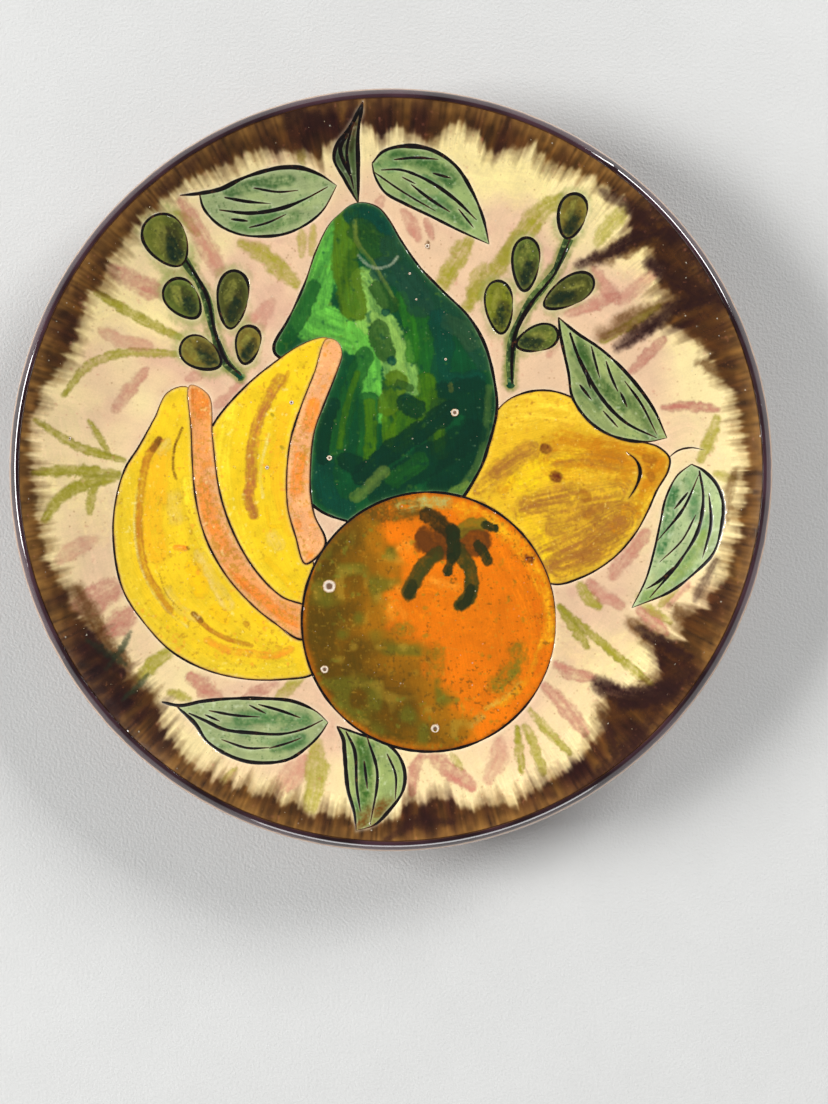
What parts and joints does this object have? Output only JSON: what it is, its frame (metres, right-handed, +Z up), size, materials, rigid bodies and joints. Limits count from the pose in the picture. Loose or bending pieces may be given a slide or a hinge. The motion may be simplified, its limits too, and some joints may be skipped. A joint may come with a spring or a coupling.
{
  "type": "decorative ceramic plate",
  "caption": "Round glazed ceramic plate on a foot ring, painted with a pear, bananas, an orange, a lemon and leaves inside incised outlines.",
  "frame": {"origin": "centre of the foot ring's resting plane, under the middle of the plate", "axes": "+Z up, square to the plate's face, towards the painted side; +Y towards the top of the painted picture; +X towards its right"},
  "size_m": [0.3, 0.3, 0.028],
  "materials": {
    "back_glaze": "thin brown glaze over red clay",
    "bare_clay": "unglazed fired clay, matt and slightly sandy",
    "lip_glaze": "thick glossy aubergine glaze, pale where it breaks over the edge",
    "brown_glaze": "glossy brown glaze that feathers inward in radial runs",
    "cream_ground": "cream slip with peach, lime and mauve washes under a clear gloss glaze",
    "pear_green": "brushed emerald, moss and dark teal greens under clear glaze",
    "banana_yellow": "brushed yellow with ochre and brown streaks under clear glaze",
    "peach": "brushed orange and peach under clear glaze",
    "orange": "brushed orange shading to olive brown under clear glaze",
    "calyx_green": "dark green brush strokes under clear glaze",
    "lemon_yellow": "brushed yellow with ochre and brown washes under clear glaze",
    "leaf_green": "thin watery green under clear glaze",
    "olive_green": "thin olive green with darker pools under clear glaze"
  },
  "bodies": {
    "root": {"plate_body": "back_glaze", "foot_ring": "bare_clay", "rim_lip": "lip_glaze", "brown_band": "brown_glaze", "cream_ground": "cream_ground", "cream_ground_gap": "cream_ground", "pear_glaze": "pear_green", "banana_left_flesh": "banana_yellow", "banana_left_shade": "peach", "banana_right_flesh": "banana_yellow", "banana_right_shade": "peach", "orange_glaze": "orange", "orange_calyx": "calyx_green", "lemon_glaze": "lemon_yellow", "leaf_top_left": "leaf_green", "leaf_top_right": "leaf_green", "leaf_stalk": "leaf_green", "leaf_lemon_top": "leaf_green", "leaf_lemon_side": "leaf_green", "leaf_bottom_left": "leaf_green", "leaf_bottom_middle": "leaf_green", "sprig_left_stem": "olive_green", "sprig_left_olive_1": "olive_green", "sprig_left_olive_2": "olive_green", "sprig_left_olive_3": "olive_green", "sprig_left_olive_4": "olive_green", "sprig_left_olive_5": "olive_green", "sprig_right_stem": "olive_green", "sprig_right_olive_1": "olive_green", "sprig_right_olive_2": "olive_green", "sprig_right_olive_3": "olive_green", "sprig_right_olive_4": "olive_green", "sprig_right_olive_5": "olive_green"}
  },
  "joints": []
}
